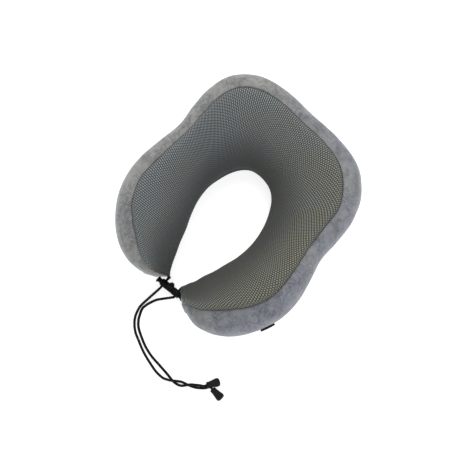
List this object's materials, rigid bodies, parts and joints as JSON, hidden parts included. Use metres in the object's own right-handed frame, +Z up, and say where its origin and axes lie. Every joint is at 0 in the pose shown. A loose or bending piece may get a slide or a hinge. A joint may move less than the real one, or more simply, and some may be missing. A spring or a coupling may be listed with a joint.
{
  "type": "u shaped neck pillow",
  "caption": "U-shaped memory-foam travel neck pillow with dished cheeks, mesh top, grey velvet sides, zipped base and a clip-together cord lock.",
  "frame": {"origin": "on the surface it rests on, under the middle of the pillow without its cords", "axes": "+X towards the right arm, +Y towards the closed back of the U, +Z up from the flat zipped base"},
  "size_m": [0.2697, 0.361, 0.1123],
  "materials": {
    "memory_foam": "matt open-cell foam",
    "spacer_mesh": "dark grey knitted spacer mesh with rows of small light dots",
    "grey_velvet": "short crushed-looking velvet nap",
    "black_rubber": "matt moulded",
    "grey_nylon": "woven tape and nylon coil",
    "black_metal": "satin black paint",
    "black_cord": "round braided cord",
    "black_plastic": "fine moulded texture",
    "spring_steel": "drawn wire"
  },
  "bodies": {
    "pillow": {"foam_core": "memory_foam", "mesh_panel": "spacer_mesh", "velvet_side_band": "grey_velvet", "velvet_base_panel": "grey_velvet", "left_tip_gusset": "spacer_mesh", "right_tip_gusset": "spacer_mesh", "side_patch": "black_rubber", "zip_tape_inner": "grey_nylon", "zip_tape_outer": "grey_nylon", "zip_coil_inner": "grey_nylon", "zip_coil_outer": "grey_nylon", "zip_stop_left": "black_metal", "zip_stop_right": "black_metal"},
    "lock_left": {"lock_socket": "black_plastic", "left_plunger_spring": "spring_steel", "left_cord": "black_cord", "left_bell": "black_plastic", "left_knot": "black_cord", "right_cord": "black_cord", "right_bell": "black_plastic", "right_knot": "black_cord"},
    "lock_right": {"lock_plug": "black_plastic", "right_plunger_spring": "spring_steel"},
    "left_plunger": {"left_plunger": "black_plastic"},
    "right_plunger": {"right_plunger": "black_plastic"},
    "latch": {"latch_button": "black_plastic"},
    "slider": {"zip_slider": "black_metal"},
    "pull": {"zip_pull": "black_metal"}
  },
  "joints": [
    {"name": "cinch_slide", "type": "slide", "parent": "pillow", "child": "lock_left", "axis": [0.0785, -0.9969, 0], "range_m": [0, 0.04], "deforming": ["left_cord", "right_cord"]},
    {"name": "lock_release", "type": "slide", "parent": "lock_left", "child": "lock_right", "axis": [0.9969, 0.0785, 0], "range_m": [0, 0.006], "deforming": ["right_cord"]},
    {"name": "left_plunger_press", "type": "slide", "parent": "lock_left", "child": "left_plunger", "axis": [0.9969, 0.0785, 0], "range_m": [0, 0.0018], "stiffness_N_per_m": 600, "springref_m": -0.001, "deforming": ["left_plunger_spring"]},
    {"name": "right_plunger_press", "type": "slide", "parent": "lock_right", "child": "right_plunger", "axis": [-0.9969, -0.0785, 0], "range_m": [0, 0.0018], "stiffness_N_per_m": 600, "springref_m": -0.001, "deforming": ["right_plunger_spring"]},
    {"name": "latch_press", "type": "slide", "parent": "lock_left", "child": "latch", "axis": [0.0785, -0.9969, 0], "range_m": [0, 0.0006], "stiffness_N_per_m": 800, "springref_m": -0.0005},
    {"name": "zip_travel", "type": "hinge", "parent": "pillow", "child": "slider", "pos_m": [0, -0.005, 0], "axis": [0, 0, 1], "range_deg": [0, 100]},
    {"name": "pull_swing", "type": "hinge", "parent": "slider", "child": "pull", "pos_m": [0.07354, 0.05671, 0.0043], "axis": [-0.766, -0.6428, 0], "range_deg": [0, 170]}
  ]
}
